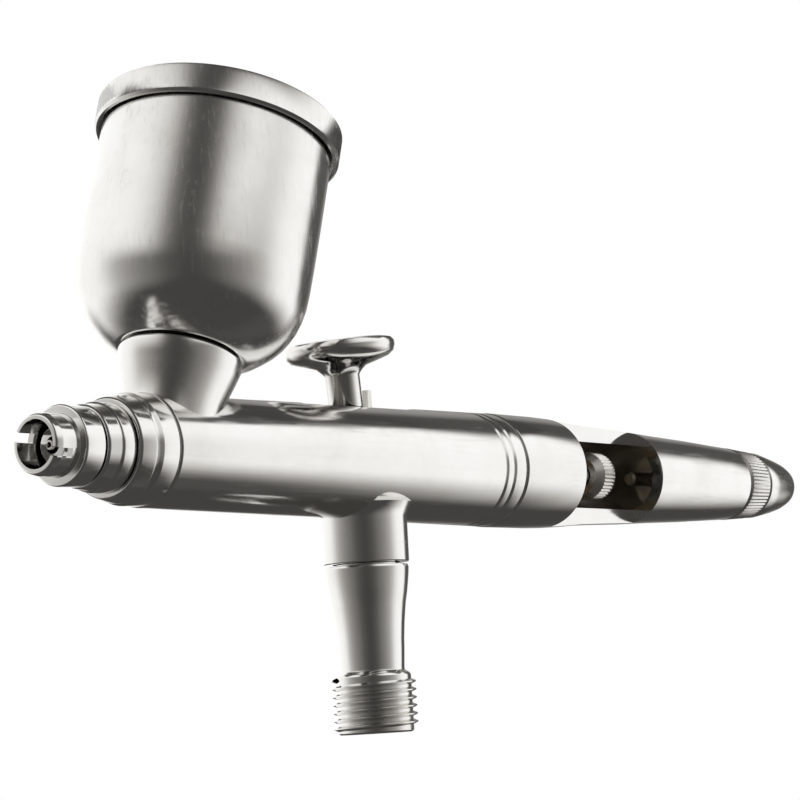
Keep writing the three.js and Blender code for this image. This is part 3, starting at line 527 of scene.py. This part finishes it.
THREAD_TURNS = 6.4
THREAD_PITCH = 0.907
STEPS_PER_TURN = 48
bpy.ops.object.select_all(action="DESELECT")
bpy.ops.mesh.primitive_plane_add(size=1)
thread = bpy.context.object
thread.name = "inlet_thread"
bpy.ops.object.mode_set(mode="EDIT")
bpy.ops.mesh.select_all(action="SELECT")
bpy.ops.mesh.merge(type="CENTER")
section = [(4.2, 0.0), (4.2, 0.72), (4.82, 0.43), (4.82, 0.29), (4.2, 0.0)]
bpy.ops.transform.translate(value=(section[0][0], 0, section[0][1]))
for before, after in zip(section, section[1:]):
    step = (after[0] - before[0], 0, after[1] - before[1])
    bpy.ops.mesh.extrude_region_move(TRANSFORM_OT_translate={"value": step})
bpy.ops.mesh.select_all(action="SELECT")
bpy.ops.mesh.remove_doubles(threshold=1e-4)
bpy.ops.mesh.edge_face_add()
bpy.ops.object.mode_set(mode="OBJECT")
helix = thread.modifiers.new("helix", "SCREW")
helix.axis = "Z"
helix.angle = 2 * math.pi * THREAD_TURNS
helix.screw_offset = THREAD_PITCH * THREAD_TURNS
helix.steps = int(STEPS_PER_TURN * THREAD_TURNS)
helix.render_steps = int(STEPS_PER_TURN * THREAD_TURNS)
helix.use_merge_vertices = True
only(thread)
bpy.ops.object.modifier_apply(modifier=helix.name)
bpy.ops.object.mode_set(mode="EDIT")
bpy.ops.mesh.select_all(action="SELECT")
bpy.ops.mesh.normals_make_consistent(inside=False)
bpy.ops.object.mode_set(mode="OBJECT")
thread.data.transform(Matrix.Scale(MM, 4))
smooth(thread, 30)
finish_piece(thread, "polished_chrome", "gun", CHROME_UP)

# %% [markdown]
# ## Remaining solids
# The inner pieces keep their CAD shape and only take a material.

# %%
INNER_MATERIALS = {
    "auxiliary_lever": SATIN, "needle": STAINLESS, "needle_spring": STAINLESS,
    "valve_plunger": STAINLESS, "valve_spring": STAINLESS, "packing_screw": BRASS,
    "spring_case": BRASS, "stop_rod": INNER, "valve_guide_screw": BRASS,
    "nozzle_seal": SEAL, "head_seal": SEAL, "needle_packing": SEAL,
    "valve_seal": RUBBER, "plunger_seal": RUBBER,
}
for node_name, material in INNER_MATERIALS.items():
    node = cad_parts[node_name]
    for index in range(max(1, len(node.data.materials))):
        if index < len(node.data.materials):
            node.data.materials[index] = material
        else:
            node.data.materials.append(material)

# %% [markdown]
# ## Floor, light and camera
# Two large soft lights stand left and right of the camera with a dark gap between them.

# %%
CAMERA_AT = Vector((-235.71, -183.39, 2.94)) * MM
RIGHT = Vector((0.6054, -0.79352, -0.0618))
UP = Vector((-0.05505, -0.1192, 0.99134))
FORWARD = Vector((0.79402, 0.59675, 0.11584))

camera_data = bpy.data.cameras.new("camera")
camera = bpy.data.objects.new("camera", camera_data)
bpy.context.scene.collection.objects.link(camera)
camera_data.lens = 117.75
camera_data.sensor_width = 36
camera_data.clip_start = 0.01
camera_turn = Matrix((RIGHT, UP, -FORWARD)).transposed().to_4x4()
camera.matrix_world = Matrix.Translation(CAMERA_AT) @ camera_turn
bpy.context.scene.camera = camera

bpy.ops.mesh.primitive_circle_add(vertices=96, radius=0.45, fill_type="NGON", location=(0, 0, -0.06))
floor = bpy.context.object
floor.name = "floor"
pale = bpy.data.materials.new("pale_floor")
pale.use_nodes = True
pale.node_tree.nodes["Principled BSDF"].inputs["Base Color"].default_value = (0.9, 0.9, 0.9, 1)
pale.node_tree.nodes["Principled BSDF"].inputs["Roughness"].default_value = 0.9
floor.data.materials.append(pale)

MIDDLE = Vector((0.01, 0, 0.035))
FLAT_RIGHT = Vector((RIGHT.x, RIGHT.y, 0)).normalized()
FLAT_FORWARD = Vector((FORWARD.x, FORWARD.y, 0)).normalized()
floor.visible_glossy = False


def softbox(name, turn, distance, height, size, power):
    """A rectangular light, turn degrees round to the right of the camera, facing the gun."""
    angle = math.radians(turn)
    direction = -FLAT_FORWARD * math.cos(angle) + FLAT_RIGHT * math.sin(angle)
    light_data = bpy.data.lights.new(name, "AREA")
    light_data.shape = "RECTANGLE"
    light_data.size, light_data.size_y = size
    light_data.energy = power
    light = bpy.data.objects.new(name, light_data)
    bpy.context.scene.collection.objects.link(light)
    spot = MIDDLE + direction * distance + Vector((0, 0, height))
    look = (MIDDLE - spot).to_track_quat("-Z", "Y")
    light.matrix_world = Matrix.Translation(spot) @ look.to_matrix().to_4x4()
    light.visible_glossy = False
    return light


softbox("light_left", -60, 0.6, 0.2, (0.5, 0.5), 1.0)
softbox("light_right", 105, 0.6, 0.2, (0.5, 0.5), 1.0)

# %% [markdown]
# The surroundings that the metal mirrors: white panels all round, a dark gap where the camera
# stands that is wider lower down, a dark ceiling and a dark table edge.

# %%
world = bpy.data.worlds.new("world")
bpy.context.scene.world = world
world.use_nodes = True
nodes, links = world.node_tree.nodes, world.node_tree.links


def linked(node, index, value):
    """Set an input to a number or vector, or link it to another node's output."""
    if isinstance(value, bpy.types.NodeSocket):
        links.new(value, node.inputs[index])
    else:
        node.inputs[index].default_value = value


def math_node(operation, a, b=None, c=None):
    node = nodes.new("ShaderNodeMath")
    node.operation = operation
    for index, value in enumerate((a, b, c)):
        if value is not None:
            linked(node, index, value)
    return node.outputs[0]


def along(direction):
    node = nodes.new("ShaderNodeVectorMath")
    node.operation = "DOT_PRODUCT"
    linked(node, 0, heading)
    linked(node, 1, tuple(direction))
    return node.outputs["Value"]


def ramp_range(value, from_low, from_high, to_low, to_high):
    node = nodes.new("ShaderNodeMapRange")
    node.interpolation_type = "SMOOTHSTEP"
    for index, part in enumerate((value, from_low, from_high, to_low, to_high)):
        linked(node, index, part)
    return node.outputs[0]


heading = nodes.new("ShaderNodeTexCoord").outputs["Generated"]
sideways = along(FLAT_RIGHT)
towards = along(-FLAT_FORWARD)
upward = math_node("MULTIPLY", math_node("ARCSINE", along((0, 0, 1))), 180 / math.pi)
turn = math_node("MULTIPLY", math_node("ARCTAN2", sideways, towards), 180 / math.pi)
turned_away = math_node("ABSOLUTE", turn)


def level_curve(value, points):
    """A smooth curve through (degrees, level) points, up to half a turn."""
    node = nodes.new("ShaderNodeFloatCurve")
    curve = node.mapping.curves[0]
    curve.points[0].location = (0, points[0][1])
    curve.points[1].location = (1, points[-1][1])
    for degrees, level in points[1:-1]:
        curve.points.new(degrees / 180, level)
    node.mapping.update()
    linked(node, 1, math_node("DIVIDE", value, 180.0))
    return node.outputs[0]


quicker = ramp_range(turn, -20.0, 20.0, 1.0, 1.25)
high_panel = level_curve(math_node("MULTIPLY", turned_away, quicker), [
    (0, 0.065), (7, 0.07), (17, 0.12), (29, 0.33), (41, 0.6), (53, 0.76), (66, 0.87), (96, 0.97),
    (180, 1.0),
])
slower = ramp_range(turn, -20.0, 20.0, 0.94, 1.0)
low_panel = level_curve(math_node("MULTIPLY", turned_away, slower), [
    (0, 0.055), (20, 0.085), (35, 0.15), (52, 0.24), (71, 0.42), (90, 0.8), (105, 0.97),
    (180, 1.0),
])
panels = nodes.new("ShaderNodeMix")
linked(panels, 0, ramp_range(upward, 8.0, 30.0, 0.0, 1.0))
linked(panels, 2, low_panel)
linked(panels, 3, high_panel)
panel = panels.outputs[0]
ceiling_from = ramp_range(turned_away, 70.0, 110.0, 62.0, 34.5)
ceiling_to = math_node("ADD", ceiling_from, 3.5)
ceiling = ramp_range(upward, ceiling_from, ceiling_to, 1.0, 0.09)
table = ramp_range(upward, -42.0, -12.0, 0.07, 1.0)
behind_low = ramp_range(turned_away, 128.0, 150.0, 1.0, 0.07)
behind_high = math_node(
    "MAXIMUM", ramp_range(turn, 124.0, 136.0, 1.0, 0.075), ramp_range(turn, 150.0, 172.0, 0.0, 0.28)
)
is_low = ramp_range(upward, -16.0, -2.0, 1.0, 0.0)
behind = nodes.new("ShaderNodeMix")
linked(behind, 0, is_low)
linked(behind, 2, behind_high)
linked(behind, 3, behind_low)
overhead = math_node("MULTIPLY", panel, ceiling)
level = math_node("MULTIPLY", overhead, math_node("MULTIPLY", table, behind.outputs[0]))
level = math_node("MAXIMUM", level, 0.055)

tint = nodes.new("ShaderNodeMix")
tint.data_type = "RGBA"
links.new(level, tint.inputs["Factor"])
tint.inputs["A"].default_value = (1.04, 1.0, 0.94, 1)
tint.inputs["B"].default_value = (1.0, 1.0, 0.995, 1)
scaled = nodes.new("ShaderNodeVectorMath")
scaled.operation = "SCALE"
links.new(tint.outputs["Result"], scaled.inputs[0])
links.new(math_node("MULTIPLY", level, 1.12), scaled.inputs["Scale"])

path = nodes.new("ShaderNodeLightPath")
seen = nodes.new("ShaderNodeMix")
seen.data_type = "RGBA"
links.new(path.outputs["Is Camera Ray"], seen.inputs["Factor"])
links.new(scaled.outputs[0], seen.inputs["A"])
seen.inputs["B"].default_value = (1.0, 1.0, 1.0, 1)
links.new(seen.outputs["Result"], nodes["Background"].inputs["Color"])
bpy.context.scene.view_settings.view_transform = "Standard"
